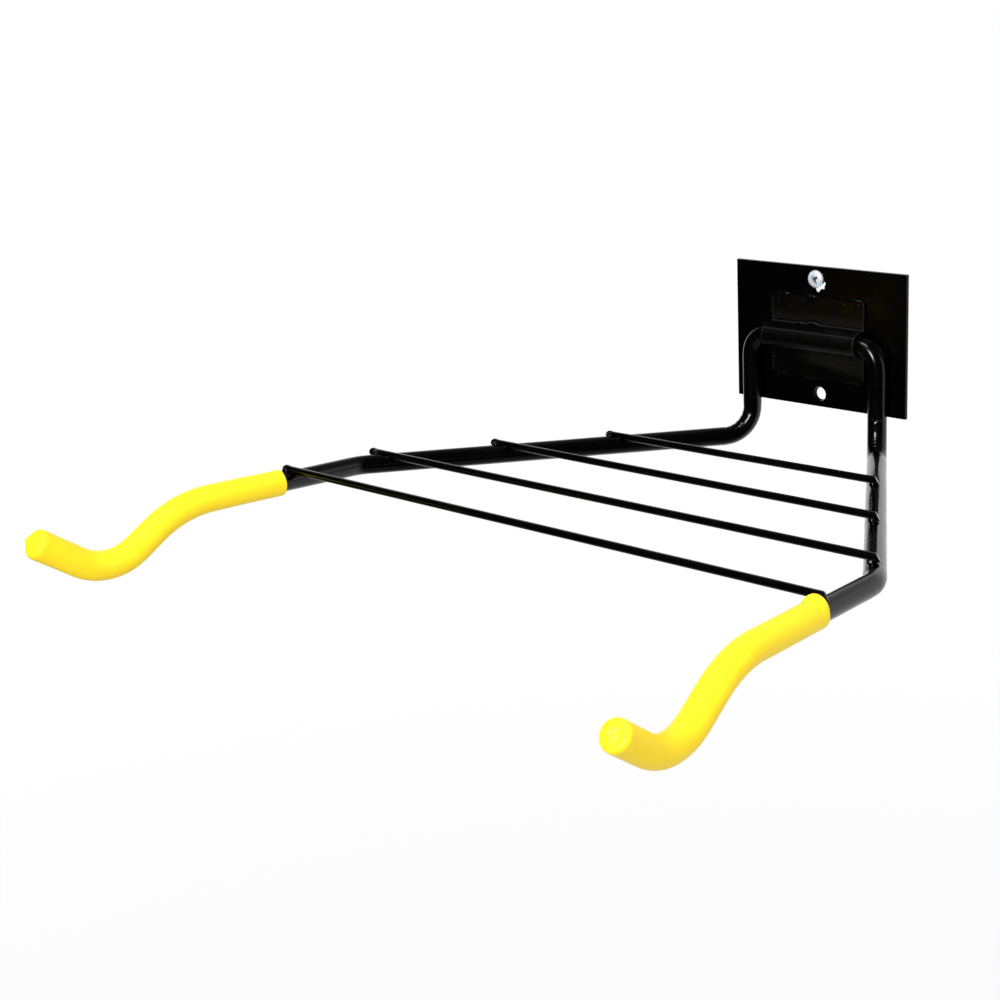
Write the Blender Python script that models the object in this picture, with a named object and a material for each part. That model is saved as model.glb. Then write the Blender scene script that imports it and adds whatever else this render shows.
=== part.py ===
"""Wall-mounted folding bike rack, modelled at its real size.

A flat wall plate carries a pressed strap. The strap holds the crossbar of one bent tube, and that
tube is the whole frame: crossbar, two legs, two splayed arms and two hooks. Four rods are welded
across the arms, and a yellow dip-moulded sleeve covers each hook. The frame folds up about the
crossbar.

Metres, +Z up. The wall is the plane y = 0, X runs along the wall and the rack stands out to -Y.
The origin is the middle of the wall plate's back.
"""
import math

import bmesh
import bpy
from mathutils import Matrix, Vector

MM = 0.001

# Fit
GAP = 0.3 * MM                     # between pieces that touch on the real object
STRAP_PLAY = 0.6 * MM              # room for the crossbar to turn in the strap

# Wall plate, 1/8 inch steel with two screw holes on its centre line
PLATE_WIDTH = 136 * MM
PLATE_HEIGHT = 96 * MM
PLATE_THICKNESS = 3.2 * MM
PLATE_CORNER = 1.2 * MM
PLATE_EDGE = 0.3 * MM
HOLE_DIAMETER = 11 * MM
HOLE_HEIGHT = 39.5 * MM            # above and below the plate's middle

# Half-inch tube, bent into the frame
TUBE_RADIUS = 6.35 * MM
TUBE_BORE_RADIUS = 5.15 * MM
LEG_X = 51 * MM
LEG_DROP = 73.3 * MM               # crossbar centre down to the arms' centre line
KINK_X = 203 * MM
KINK_REACH = 244 * MM
ARM_RISE = 0.035                   # rise of the arms per metre outwards
HOOK_SPLAY = 0.091                 # sideways run of the hooks per metre outwards
CROSSBAR_BEND = 15 * MM
LEG_BEND = 20 * MM
KINK_BEND = 30 * MM

# Hook: the tube dips into a cradle and turns up again
CRADLE_START = 117 * MM            # straight tube from the kink's corner to the first bend
DIP_BEND = 75 * MM
DIP_ANGLE = math.radians(33.4)
DIP_STRAIGHT = 15.8 * MM
CRADLE_BEND = 37.3 * MM
CRADLE_ANGLE = math.radians(66.3)
LEFT_TIP_STRAIGHT = 31.5 * MM
RIGHT_TIP_STRAIGHT = 24 * MM

# Hook sleeves
SLEEVE_LEFT_REACH = 309 * MM       # from the wall to each sleeve's mouth
SLEEVE_RIGHT_REACH = 305 * MM
SLEEVE_MOUTH_RADIUS = 8.2 * MM
SLEEVE_TIP_RADIUS = 9.0 * MM
SLEEVE_LIP = 0.6 * MM
SLEEVE_DOME = 4.8 * MM             # closed end, beyond the tube's end
SLEEVE_DOME_ANGLES = (25, 45, 62, 74)    # degrees round the dome's shoulder
SLEEVE_DOME_FULLNESS = 0.62        # below one, the shoulder stands fuller than an ellipse
SLEEVE_NUB_RADIUS = 2.2 * MM
SLEEVE_NUB_HEIGHT = 1.0 * MM
SLEEVE_BORE_CONE = 0.9 * MM        # depth of the bore's pointed end beyond the tube

# Cross rods, welded on top of the arms
ROD_RADIUS = 2.4 * MM
ROD_REACHES = (94 * MM, 161.5 * MM, 229.5 * MM, 299 * MM)
ROD_LEFT_ENDS = (4.2 * MM, 5.2 * MM, 8.4 * MM, 3.6 * MM)    # past the arms' centre lines
ROD_RIGHT_ENDS = (0.8 * MM, 1.6 * MM, 2.4 * MM, 2.9 * MM)
ROD_LEFT_SINKS = (1.7 * MM, 1.7 * MM, 1.7 * MM, 1.4 * MM)    # how deep the welding presses them in
ROD_RIGHT_SINKS = (0, 0, 0, 0.8 * MM)
ROD_CUT_BACK = 0.9                 # slant of the sheared right ends: shorter on the wall's side
ROD_CUT_UP = 0.72                  # and shorter above
ROD_LEFT_CUT_BACK = 0.35           # the left ends are nearly square
ROD_EDGE = 0.5 * MM
WELD_LENGTH = 4.6 * MM             # half lengths of the weld lump under a rod
WELD_WIDTH = 4.2 * MM
WELD_HEIGHT = 2.9 * MM
WELD_ROOM = 14 * MM                # how far either way the arm's room is cut from the lump

# Hinge strap, pressed from sheet and stitch welded to the plate
STRAP_HALF_LENGTH = 37 * MM
STRAP_HALF_HEIGHT = 28 * MM
STRAP_SHEET = 1.6 * MM
STRAP_FILLET = 1.2 * MM
STRAP_CORNER = 3 * MM
DART_MIDDLE = -4 * MM              # stiffening dart pressed into the upper fold
DART_HALF_LENGTH = 9 * MM
DART_FILLET = 4.4 * MM
STITCHES = ((-29 * MM, 7 * MM), (-6 * MM, 6 * MM), (27 * MM, 8 * MM))   # middle, half length
STITCH_TOE = 1.9 * MM              # how far a weld reaches over the plate
STITCH_FACE = 0.7                  # share of that reach at half the sheet's thickness

# Pan-head screw in the upper hole
SCREW_HEAD_RADIUS = 6.45 * MM
SCREW_HEAD_HEIGHT = 3.7 * MM
SCREW_SHANK_RADIUS = 3.0 * MM
SCREW_LENGTH = 38 * MM
SCREW_POINT = 7 * MM
SCREW_CROWN = 2.3 * MM             # height of the head's rounded crown
SCREW_CROWN_ANGLES = (20, 42, 62, 78)    # degrees round the crown
SCREW_CROWN_FULLNESS = 0.8
SCREW_RIM = 0.9 * MM               # height of the head's straight rim
RECESS_HALF_LENGTH = 3.9 * MM      # at the mouth of the cross recess
RECESS_FLOOR_HALF_LENGTH = 1.2 * MM
RECESS_HALF_WIDTH = 0.65 * MM
RECESS_FLOOR_HALF_WIDTH = 0.45 * MM
RECESS_DEPTH = 2.4 * MM
RECESS_TURN = math.radians(38)

# Facets
SHARP_ANGLE = math.radians(35)     # folds sharper than this are shaded as edges
TUBE_SIDES = 20
ROD_SIDES = 14
ROOM_SIDES = 34
HOLE_SIDES = 40
BARREL_STEPS = 14
FOLD_STEPS = 3
BEND_STEP = math.radians(11.3)

# Places that follow from the sizes above
AXIS_Y = -(PLATE_THICKNESS + GAP + TUBE_RADIUS)
AXIS = Vector((0, AXIS_Y, 0))
BARREL_INNER = TUBE_RADIUS + STRAP_PLAY
BARREL_OUTER = BARREL_INNER + STRAP_SHEET


def remove_everything():
    for thing in list(bpy.data.objects):
        bpy.data.objects.remove(thing, do_unlink=True)


def make_material(name, colour, roughness, metallic=0.0):
    material = bpy.data.materials.new(name)
    material.use_nodes = True
    shader = material.node_tree.nodes["Principled BSDF"]
    shader.inputs["Base Color"].default_value = (*colour, 1)
    shader.inputs["Roughness"].default_value = roughness
    shader.inputs["Metallic"].default_value = metallic
    return material


def make_object(name, shape, material, parent=None):
    """Turns a bmesh into a named, smooth-shaded object, which keeps its place under the parent."""
    bmesh.ops.recalc_face_normals(shape, faces=shape.faces[:])
    mesh = bpy.data.meshes.new(name)
    shape.to_mesh(mesh)
    shape.free()
    mesh.shade_smooth()
    mesh.set_sharp_from_angle(angle=SHARP_ANGLE)
    thing = bpy.data.objects.new(name, mesh)
    bpy.context.collection.objects.link(thing)
    mesh.materials.append(material)
    if parent:
        thing.parent = parent
        thing.matrix_parent_inverse = parent.matrix_world.inverted()
    return thing


def make_tool(name, shape):
    """A guide for a Boolean, which is no piece of the rack."""
    mesh = bpy.data.meshes.new(name)
    bmesh.ops.recalc_face_normals(shape, faces=shape.faces[:])
    shape.to_mesh(mesh)
    shape.free()
    thing = bpy.data.objects.new(name, mesh)
    bpy.context.collection.objects.link(thing)
    thing.hide_render = True
    thing.display_type = "WIRE"
    return thing


def combine(thing, tool, operation):
    boolean = thing.modifiers.new(tool.name, "BOOLEAN")
    boolean.operation = operation
    boolean.solver = "EXACT"
    boolean.object = tool


def cylinder(radius, start, end, sides):
    """A closed cylinder between two points."""
    shape = bmesh.new()
    run = end - start
    place = Matrix.Translation((start + end) / 2) @ run.to_track_quat("Z", "Y").to_matrix().to_4x4()
    bmesh.ops.create_cone(shape, cap_ends=True, segments=sides, radius1=radius, radius2=radius,
                          depth=run.length, matrix=place)
    return shape


def arm_height(reach):
    """Height of an arm's centre line at a distance from the wall."""
    return -LEG_DROP + ARM_RISE * (reach + AXIS_Y)


def arm_x(reach):
    """Distance of an arm's centre line from the rack's middle plane."""
    if reach > KINK_REACH:
        return KINK_X + HOOK_SPLAY * (reach - KINK_REACH)
    share = (reach + AXIS_Y) / (KINK_REACH + AXIS_Y)
    return LEG_X + share * (KINK_X - LEG_X)


def arm_point(reach):
    return Vector((arm_x(reach), -reach, arm_height(reach)))


def arm_direction(reach):
    return (arm_point(reach + MM) - arm_point(reach)).normalized()


def right_half_corners(tip_straight):
    """Corners of the tube's centre line with their bend radii, from the crossbar to the right tip."""
    leg_top = Vector((LEG_X, AXIS_Y, 0))
    leg_foot = Vector((LEG_X, AXIS_Y, -LEG_DROP))
    kink = arm_point(KINK_REACH)
    forward = arm_direction(KINK_REACH + MM)
    sideways = forward.cross(Vector((0, 0, 1))).normalized()
    downward = Matrix.Rotation(-DIP_ANGLE, 3, sideways) @ forward
    upward = Matrix.Rotation(CRADLE_ANGLE, 3, sideways) @ downward
    dip_tangent = DIP_BEND * math.tan(DIP_ANGLE / 2)
    cradle_tangent = CRADLE_BEND * math.tan(CRADLE_ANGLE / 2)
    dip = kink + forward * (CRADLE_START + dip_tangent)
    cradle = dip + downward * (dip_tangent + DIP_STRAIGHT + cradle_tangent)
    tip = cradle + upward * (cradle_tangent + tip_straight)
    return [(leg_top, CROSSBAR_BEND), (leg_foot, LEG_BEND), (kink, KINK_BEND),
            (dip, DIP_BEND), (cradle, CRADLE_BEND), (tip, 0)]


def tube_corners():
    """Corners from the left tip to the right one: the left half is mirrored, and its tip is longer."""
    mirror = Vector((-1, 1, 1))
    left_half = reversed(right_half_corners(LEFT_TIP_STRAIGHT))
    left = [(corner * mirror, radius) for corner, radius in left_half]
    return left + right_half_corners(RIGHT_TIP_STRAIGHT)


def bent_path(corners):
    """Stations along straight runs joined by arcs, each a point and the direction of travel."""
    stations = [(corners[0][0], (corners[1][0] - corners[0][0]).normalized())]
    for index in range(1, len(corners) - 1):
        before, here, after = (corners[index + step][0] for step in (-1, 0, 1))
        radius = corners[index][1]
        inward = (here - before).normalized()
        outward = (after - here).normalized()
        angle = inward.angle(outward)
        turn_axis = inward.cross(outward).normalized()
        start = here - inward * radius * math.tan(angle / 2)
        centre = start + turn_axis.cross(inward) * radius
        steps = max(3, math.ceil(angle / BEND_STEP))
        for step in range(steps + 1):
            turn = Matrix.Rotation(angle * step / steps, 3, turn_axis)
            stations.append((centre + turn @ (start - centre), turn @ inward))
    stations.append((corners[-1][0], (corners[-1][0] - corners[-2][0]).normalized()))
    return stations


def carried_frames(stations, first_normal):
    """Adds to each station a normal that is carried along the path without twisting."""
    frames = []
    normal = first_normal
    direction = stations[0][1]
    for point, heading in stations:
        normal = direction.rotation_difference(heading) @ normal
        normal = (normal - heading * normal.dot(heading)).normalized()
        frames.append((point, heading, normal))
        direction = heading
    return frames


def tube_frames():
    stations = bent_path(tube_corners())
    return carried_frames(stations, Vector((1, 0, 0)).cross(stations[0][1]).normalized())


def add_ring(shape, frame, radius, sides, shift=0.0):
    """A ring of points round a station, moved along the path by shift."""
    point, heading, normal = frame
    side = heading.cross(normal)
    ring = []
    for index in range(sides):
        angle = 2 * math.pi * index / sides
        offset = normal * math.cos(angle) + side * math.sin(angle)
        ring.append(shape.verts.new(point + heading * shift + offset * radius))
    return ring


def skin_rings(shape, rings):
    for near, far in zip(rings, rings[1:]):
        for index in range(len(near)):
            after = (index + 1) % len(near)
            shape.faces.new((near[index], near[after], far[after], far[index]))


def close_end(shape, ring, tip):
    """Closes a ring with a fan to one point."""
    pole = shape.verts.new(tip)
    for index in range(len(ring)):
        shape.faces.new((ring[index], ring[(index + 1) % len(ring)], pole))


def frame_tube(material, axis):
    """One hollow tube, open at both ends."""
    shape = bmesh.new()
    frames = tube_frames()
    outside = [add_ring(shape, frame, TUBE_RADIUS, TUBE_SIDES) for frame in frames]
    inside = [add_ring(shape, frame, TUBE_BORE_RADIUS, TUBE_SIDES) for frame in frames]
    skin_rings(shape, outside + inside[::-1] + outside[:1])
    return make_object("frame_tube", shape, material, axis)


def sleeve_frames(side):
    """Stations of the tube inside one sleeve, from the sleeve's mouth to the tube's end."""
    frames = tube_frames()
    if side < 0:
        frames = [(point, -heading, normal) for point, heading, normal in reversed(frames)]
    reach = SLEEVE_LEFT_REACH if side < 0 else SLEEVE_RIGHT_REACH
    covered = [index for index, (point, _, _) in enumerate(frames)
               if point.x * side > 0 and -point.y > reach]
    before, first = frames[covered[0] - 1], frames[covered[0]]
    share = (reach + before[0].y) / (before[0].y - first[0].y)
    mouth = (before[0].lerp(first[0], share), first[1], first[2])
    return [mouth] + frames[covered[0]:]


def hook_sleeve(side, name, material, axis):
    """A closed-end sleeve: it thickens towards its tip, which is a low dome with a drip nub."""
    shape = bmesh.new()
    frames = sleeve_frames(side)
    runs = [0.0]
    for near, far in zip(frames, frames[1:]):
        runs.append(runs[-1] + (far[0] - near[0]).length)
    radii = [SLEEVE_MOUTH_RADIUS + (SLEEVE_TIP_RADIUS - SLEEVE_MOUTH_RADIUS) * run / runs[-1]
             for run in runs]
    bore = TUBE_RADIUS + GAP

    outside = [add_ring(shape, frames[0], radii[0] - SLEEVE_LIP, TUBE_SIDES),
               add_ring(shape, frames[0], radii[0], TUBE_SIDES, SLEEVE_LIP)]
    outside += [add_ring(shape, frame, radius, TUBE_SIDES)
                for frame, radius in zip(frames[1:], radii[1:])]
    end = frames[-1]
    for degrees in SLEEVE_DOME_ANGLES:
        turn = math.radians(degrees)
        radius = SLEEVE_TIP_RADIUS * math.cos(turn) ** SLEEVE_DOME_FULLNESS
        outside.append(add_ring(shape, end, radius, TUBE_SIDES, SLEEVE_DOME * math.sin(turn)))
    outside.append(add_ring(shape, end, SLEEVE_NUB_RADIUS, TUBE_SIDES, SLEEVE_DOME))
    inside = [add_ring(shape, frame, bore, TUBE_SIDES) for frame in frames]
    inside.append(add_ring(shape, end, bore, TUBE_SIDES, GAP))
    skin_rings(shape, inside[::-1] + outside)
    close_end(shape, inside[-1], end[0] + end[1] * SLEEVE_BORE_CONE)
    close_end(shape, outside[-1], end[0] + end[1] * (SLEEVE_DOME + SLEEVE_NUB_HEIGHT))
    return make_object(name, shape, material, axis)


def cross_rod(number, reach, material, axis):
    """A straight rod on top of both arms, saddled over them, with the weld lump that holds it on each."""
    name = f"cross_rod_{number}"
    index = number - 1
    foot = arm_point(reach)
    top = foot.z + TUBE_RADIUS + GAP + ROD_RADIUS
    left_end = Vector((-foot.x - ROD_LEFT_ENDS[index], foot.y, top - ROD_LEFT_SINKS[index]))
    right_end = Vector((foot.x + ROD_RIGHT_ENDS[index], foot.y, top - ROD_RIGHT_SINKS[index]))
    shape = cylinder(ROD_RADIUS, left_end, right_end, ROD_SIDES)
    rims = [edge for edge in shape.edges if edge.verts[0].co.x * edge.verts[1].co.x > 0]
    for vert in shape.verts:
        if vert.co.x > 0:
            offset = vert.co - right_end
            vert.co.x -= ROD_CUT_BACK * offset.y + ROD_CUT_UP * offset.z
        else:
            vert.co.x += ROD_LEFT_CUT_BACK * (vert.co.y - left_end.y)
    bmesh.ops.bevel(shape, geom=rims, offset=ROD_EDGE, segments=2, affect="EDGES", profile=0.5)
    rod = make_object(name, shape, material, axis)

    size = Matrix.Diagonal((WELD_WIDTH, WELD_LENGTH, WELD_HEIGHT, 1))
    rooms = []
    for side, label in ((-1, "left"), (1, "right")):
        mirror = Vector((side, 1, 1))
        along = arm_direction(reach) * mirror
        middle = foot * mirror
        turn = along.to_track_quat("Y", "Z").to_matrix().to_4x4()
        place = Matrix.Translation(middle + Vector((0, 0, TUBE_RADIUS + GAP))) @ turn @ size
        lump = bmesh.new()
        bmesh.ops.create_uvsphere(lump, u_segments=13, v_segments=7, radius=1, matrix=place)
        combine(rod, make_tool(f"{name}_{label}_weld", lump), "UNION")
        ends = along * WELD_ROOM
        room = cylinder(TUBE_RADIUS + GAP, middle - ends, middle + ends, ROOM_SIDES)
        rooms.append(make_tool(f"{name}_{label}_room", room))
    for room in rooms:
        combine(rod, room, "DIFFERENCE")
    return rod


def wall_plate(material):
    shape = bmesh.new()
    bmesh.ops.create_cube(shape, size=1)
    size = Vector((PLATE_WIDTH, PLATE_THICKNESS, PLATE_HEIGHT))
    for vert in shape.verts:
        vert.co = vert.co * size - Vector((0, PLATE_THICKNESS / 2, 0))
    corners = [edge for edge in shape.edges if abs(edge.verts[0].co.y - edge.verts[1].co.y) > GAP]
    bmesh.ops.bevel(shape, geom=corners, offset=PLATE_CORNER, segments=4, affect="EDGES", profile=0.5)
    plate = make_object("wall_plate", shape, material)
    for height, label in ((HOLE_HEIGHT, "upper"), (-HOLE_HEIGHT, "lower")):
        through = Vector((0, 2 * PLATE_THICKNESS, 0))
        middle = Vector((0, 0, height))
        hole = cylinder(HOLE_DIAMETER / 2, middle - through, middle + through, HOLE_SIDES)
        combine(plate, make_tool(f"{label}_hole", hole), "DIFFERENCE")
    edge = plate.modifiers.new("edges", "BEVEL")
    edge.width = PLATE_EDGE
    edge.segments = 1
    edge.limit_method = "ANGLE"
    edge.angle_limit = math.radians(50)
    return plate


def swell(distance, half_length):
    """One at the middle, falling smoothly to nothing at the half length."""
    if abs(distance) >= half_length:
        return 0.0
    return math.cos(math.pi * distance / (2 * half_length)) ** 2


def arc_points(centre, radius, start, end, steps):
    """Points of an arc in the (y, z) plane, angles from +y towards +z."""
    return [(centre[0] + radius * math.cos(start + (end - start) * step / steps),
             centre[1] + radius * math.sin(start + (end - start) * step / steps))
            for step in range(steps + 1)]


def flange_lines(fillet, toe):
    """Front and back of the flange above the barrel, from its edge inwards, as (y, z) points."""
    back = -(PLATE_THICKNESS + GAP)
    front = back - STRAP_SHEET
    centre = (front - fillet, BARREL_OUTER + fillet)
    front_line = [(front, STRAP_HALF_HEIGHT)]
    front_line += arc_points(centre, fillet, 0, -math.pi / 2, FOLD_STEPS)
    back_line = [((front + back) / 2, STRAP_HALF_HEIGHT + STITCH_FACE * toe),
                 (back, STRAP_HALF_HEIGHT + toe)]
    back_line += arc_points(centre, fillet + STRAP_SHEET, 0, -math.pi / 2, FOLD_STEPS)
    return front_line, back_line


def strap_section(fillet, toe):
    """Closed outline of the strap in (y, z), for one upper fold fillet and one weld toe."""
    upper_front, upper_back = flange_lines(fillet, toe)
    lower_front, lower_back = flange_lines(STRAP_FILLET, toe)
    outer, inner = (arc_points((AXIS_Y, 0), radius, math.pi / 2, 3 * math.pi / 2, BARREL_STEPS)
                    for radius in (BARREL_OUTER, BARREL_INNER))
    outside = upper_front + outer + [(y, -z) for y, z in reversed(lower_front)]
    inside = upper_back + inner + [(y, -z) for y, z in reversed(lower_back)]
    return outside + inside[::-1]


def strap_stations():
    """Places along the strap where its section changes: the dart, the stitches and the ends."""
    places = {-STRAP_HALF_LENGTH, STRAP_HALF_LENGTH}
    for middle, half_length in ((DART_MIDDLE, DART_HALF_LENGTH),) + STITCHES:
        places.update(middle + half_length * share / 2 for share in range(-2, 3))
    places = sorted(places)
    kept = [places[0]]
    for place in places[1:]:
        if place - kept[-1] > MM:
            kept.append(place)
    return kept


def hinge_strap(material):
    """Pressed strap with a flange above and below the barrel, lofted along the crossbar."""
    shape = bmesh.new()
    rings = []
    for x in strap_stations():
        fillet = STRAP_FILLET + (DART_FILLET - STRAP_FILLET) * swell(x - DART_MIDDLE, DART_HALF_LENGTH)
        toe = STITCH_TOE * max(swell(x - middle, half) for middle, half in STITCHES)
        rings.append([shape.verts.new((x, y, z)) for y, z in strap_section(fillet, toe)])
    skin_rings(shape, rings)
    for ring in (rings[0], rings[-1]):
        shape.faces.new(ring)
    corners = [edge for edge in shape.edges
               if all(abs(vert.co.x) > STRAP_HALF_LENGTH - GAP and
                      abs(vert.co.z) > STRAP_HALF_HEIGHT - GAP for vert in edge.verts)]
    bmesh.ops.bevel(shape, geom=corners, offset=STRAP_CORNER, segments=3, affect="EDGES", profile=0.5)
    return make_object("hinge_strap", shape, material)


def turned_profile(profile, sides, centre):
    """Turns (radius, y) points about a line along Y, closing both ends to a point."""
    shape = bmesh.new()
    frame = (centre, Vector((0, 1, 0)), Vector((1, 0, 0)))
    rings = [add_ring(shape, frame, radius, sides, y) for radius, y in profile[1:-1]]
    skin_rings(shape, rings)
    close_end(shape, rings[0], centre + Vector((0, profile[0][1], 0)))
    close_end(shape, rings[-1], centre + Vector((0, profile[-1][1], 0)))
    return shape


def mounting_screw(material):
    """Pan-head screw with a cross recess, its shank through the plate's upper hole."""
    seat = -(PLATE_THICKNESS + GAP)
    top = seat - SCREW_HEAD_HEIGHT
    profile = [(0, top)]
    for degrees in SCREW_CROWN_ANGLES:
        turn = math.radians(degrees)
        profile.append((SCREW_HEAD_RADIUS * math.sin(turn) ** SCREW_CROWN_FULLNESS,
                        top + SCREW_CROWN * (1 - math.cos(turn))))
    profile.append((SCREW_HEAD_RADIUS, seat - SCREW_RIM))
    profile.append((SCREW_HEAD_RADIUS - GAP, seat))
    profile.append((SCREW_SHANK_RADIUS + GAP, seat))
    profile.append((SCREW_SHANK_RADIUS, seat + GAP))
    profile.append((SCREW_SHANK_RADIUS, seat + SCREW_LENGTH - SCREW_POINT))
    profile.append((0, seat + SCREW_LENGTH))
    centre = Vector((0, 0, HOLE_HEIGHT))
    screw = make_object("mounting_screw", turned_profile(profile, 24, centre), material)

    for number, turn in enumerate((RECESS_TURN, RECESS_TURN + math.pi / 2)):
        blade = bmesh.new()
        bmesh.ops.create_cube(blade, size=2)
        for vert in blade.verts:
            deep = vert.co.y > 0
            vert.co.x *= RECESS_FLOOR_HALF_LENGTH if deep else RECESS_HALF_LENGTH
            vert.co.z *= RECESS_FLOOR_HALF_WIDTH if deep else RECESS_HALF_WIDTH
            vert.co.y = top + (RECESS_DEPTH if deep else -MM)
        bmesh.ops.rotate(blade, verts=blade.verts, matrix=Matrix.Rotation(turn, 3, "Y"))
        bmesh.ops.translate(blade, verts=blade.verts, vec=centre)
        combine(screw, make_tool(f"recess_blade_{number + 1}", blade), "DIFFERENCE")
    return screw


def build():
    remove_everything()
    black = make_material("black_enamel", (0.012, 0.012, 0.013), 0.25)
    plate_black = make_material("plate_enamel", (0.010, 0.010, 0.011), 0.22)
    rod_black = make_material("rod_enamel", (0.013, 0.013, 0.014), 0.3)
    yellow = make_material("yellow_vinyl", (0.90, 0.74, 0.02), 0.38)
    zinc = make_material("zinc_plate", (0.70, 0.71, 0.74), 0.3, 1.0)

    wall_plate(plate_black)
    hinge_strap(black)
    mounting_screw(zinc)

    axis = bpy.data.objects.new("hinge_axis", None)
    bpy.context.collection.objects.link(axis)
    axis.location = AXIS
    bpy.context.view_layer.update()
    frame_tube(black, axis)
    for number, reach in enumerate(ROD_REACHES, start=1):
        cross_rod(number, reach, rod_black, axis)
    hook_sleeve(-1, "left_hook_sleeve", yellow, axis)
    hook_sleeve(1, "right_hook_sleeve", yellow, axis)


build()
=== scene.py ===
"""Finishes of a wall-mounted folding bike rack.

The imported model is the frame. Its plate, strap, screw, tube, rods and sleeves are shown as fine surfaces that
lie where the solids lie, and in small things follow the photograph beyond them. Each is a formula on a grid of
two parameters, or a profile carried along a path.

Metres, +Z up. The wall is the plane y = 0, X runs along the wall and the rack stands out to -Y.
"""

import math

import bmesh
import bpy
import numpy as np
from mathutils import Matrix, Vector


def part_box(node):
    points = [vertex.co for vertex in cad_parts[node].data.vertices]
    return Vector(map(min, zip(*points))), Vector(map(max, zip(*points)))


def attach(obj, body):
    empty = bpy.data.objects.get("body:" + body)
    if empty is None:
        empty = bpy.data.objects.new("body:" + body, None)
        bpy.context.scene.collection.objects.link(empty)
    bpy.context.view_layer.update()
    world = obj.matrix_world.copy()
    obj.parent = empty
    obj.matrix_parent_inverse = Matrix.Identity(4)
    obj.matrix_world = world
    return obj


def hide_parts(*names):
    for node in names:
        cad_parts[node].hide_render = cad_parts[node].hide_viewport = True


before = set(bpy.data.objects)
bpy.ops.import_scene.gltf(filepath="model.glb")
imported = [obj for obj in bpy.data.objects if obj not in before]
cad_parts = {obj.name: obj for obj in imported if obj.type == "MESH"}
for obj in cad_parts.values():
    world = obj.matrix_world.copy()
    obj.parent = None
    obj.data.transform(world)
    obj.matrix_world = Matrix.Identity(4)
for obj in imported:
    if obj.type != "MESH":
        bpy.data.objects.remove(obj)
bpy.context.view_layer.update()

MM = 0.001
MERGE_DISTANCE = 1e-7
ROUTE_SPACING = 0.8 * MM

# The bent tube, as on the drawing
TUBE_RADIUS = 6.35 * MM
AXIS_Y = -9.85 * MM  # crossbar's centre line, in front of the wall
LEG_X = 51 * MM
LEG_DROP = 73.3 * MM
KINK_X = 203 * MM
KINK_REACH = 244 * MM
ARM_RISE = 0.035  # rise of the arms per metre outwards
HOOK_SPLAY = 0.091  # sideways run of the hooks per metre outwards
CROSSBAR_BEND = 15 * MM
LEG_BEND = 20 * MM
KINK_BEND = 30 * MM
CRADLE_START = 117 * MM
DIP_BEND = 75 * MM
DIP_ANGLE = math.radians(33.4)
DIP_STRAIGHT = 15.8 * MM
CRADLE_BEND = 37.3 * MM
CRADLE_ANGLE = math.radians(66.3)
TIP_STRAIGHTS = {-1: 27.6 * MM, 1: 22.8 * MM}
TUBE_SIDES = 72
TUBE_FLATTENING = 0.022  # of the bends, inside and outside
TUBE_OUTER_FLATTENING = 0.018  # and what is added outside
TUBE_PUCKER = 0.3 * MM  # inside the leg bends
TUBE_PUCKER_PITCH = 5.4 * MM
TUBE_FINE_STRETCH = 14 * MM  # above each foot's bend, where the rings lie closer
# Lumps, ridges and a dent by the feet: both ends, size and height, in millimetres
TUBE_MARKS = (
    ((44.6, -11.5, -47.1), (44.6, -11.5, -47.1), 1.6, 0.45),
    ((50.2, -16.2, -46.5), (54.2, -15.3, -52.0), 0.9, 0.45),
    ((55.6, -14.3, -48.0), (50.9, -16.2, -52.8), 0.9, 0.45),
    ((-49.5, -16.0, -57.0), (-49.5, -16.0, -57.0), 2.2, -0.30),
)

# Sleeves
SLEEVE_REACHES = {-1: 307.8 * MM, 1: 305 * MM}
SLEEVE_MOUTH_RADII = {-1: 8.5 * MM, 1: 8.2 * MM}
SLEEVE_TIP_RADII = {-1: 9.5 * MM, 1: 8.4 * MM}
SLEEVE_BORE = TUBE_RADIUS + 0.1 * MM
SLEEVE_LIP = 0.5 * MM
SLEEVE_SKIN = 1.6 * MM  # of vinyl past the tube's end, before the dome
SLEEVE_DOMES = {-1: 4.4 * MM, 1: 3.2 * MM}
SLEEVE_FULLNESS = {-1: 0.32, 1: 0.24}  # the smaller, the flatter the end and the sharper its shoulder
SLEEVE_NUBS = {-1: (6.4 * MM, 1.8 * MM), 1: (0, 0.5 * MM)}  # place outwards of the middle, and height
SLEEVE_CRUMPLES = {-1: 0.14 * MM, 1: 0.25 * MM}
SLEEVE_STRETCH = {-1: 0.3 * MM, 1: 2.5 * MM}  # of the mouth's top, over the last rod's weld
SLEEVE_STRETCH_RUN = 4.6 * MM
SLEEVE_SIDES = 96
SLEEVE_BORE_DEPTH = 8 * MM  # what is shown of the bore
SLEEVE_SHOULDER = 0.8  # share of the end's radius where its shoulder starts
SLEEVE_CREASE = 0.07 * MM  # inside the bends
SLEEVE_CREASE_PITCH = 8.5 * MM
NUB_WIDTH = 2.1 * MM
CRUMPLE_SIZES = (0.45 * MM, 0.5 * MM)  # outwards and upwards
CRUMPLE_RING = (1.6 * MM, 2.2 * MM)  # where they are strongest round the end's middle, and how wide

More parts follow.
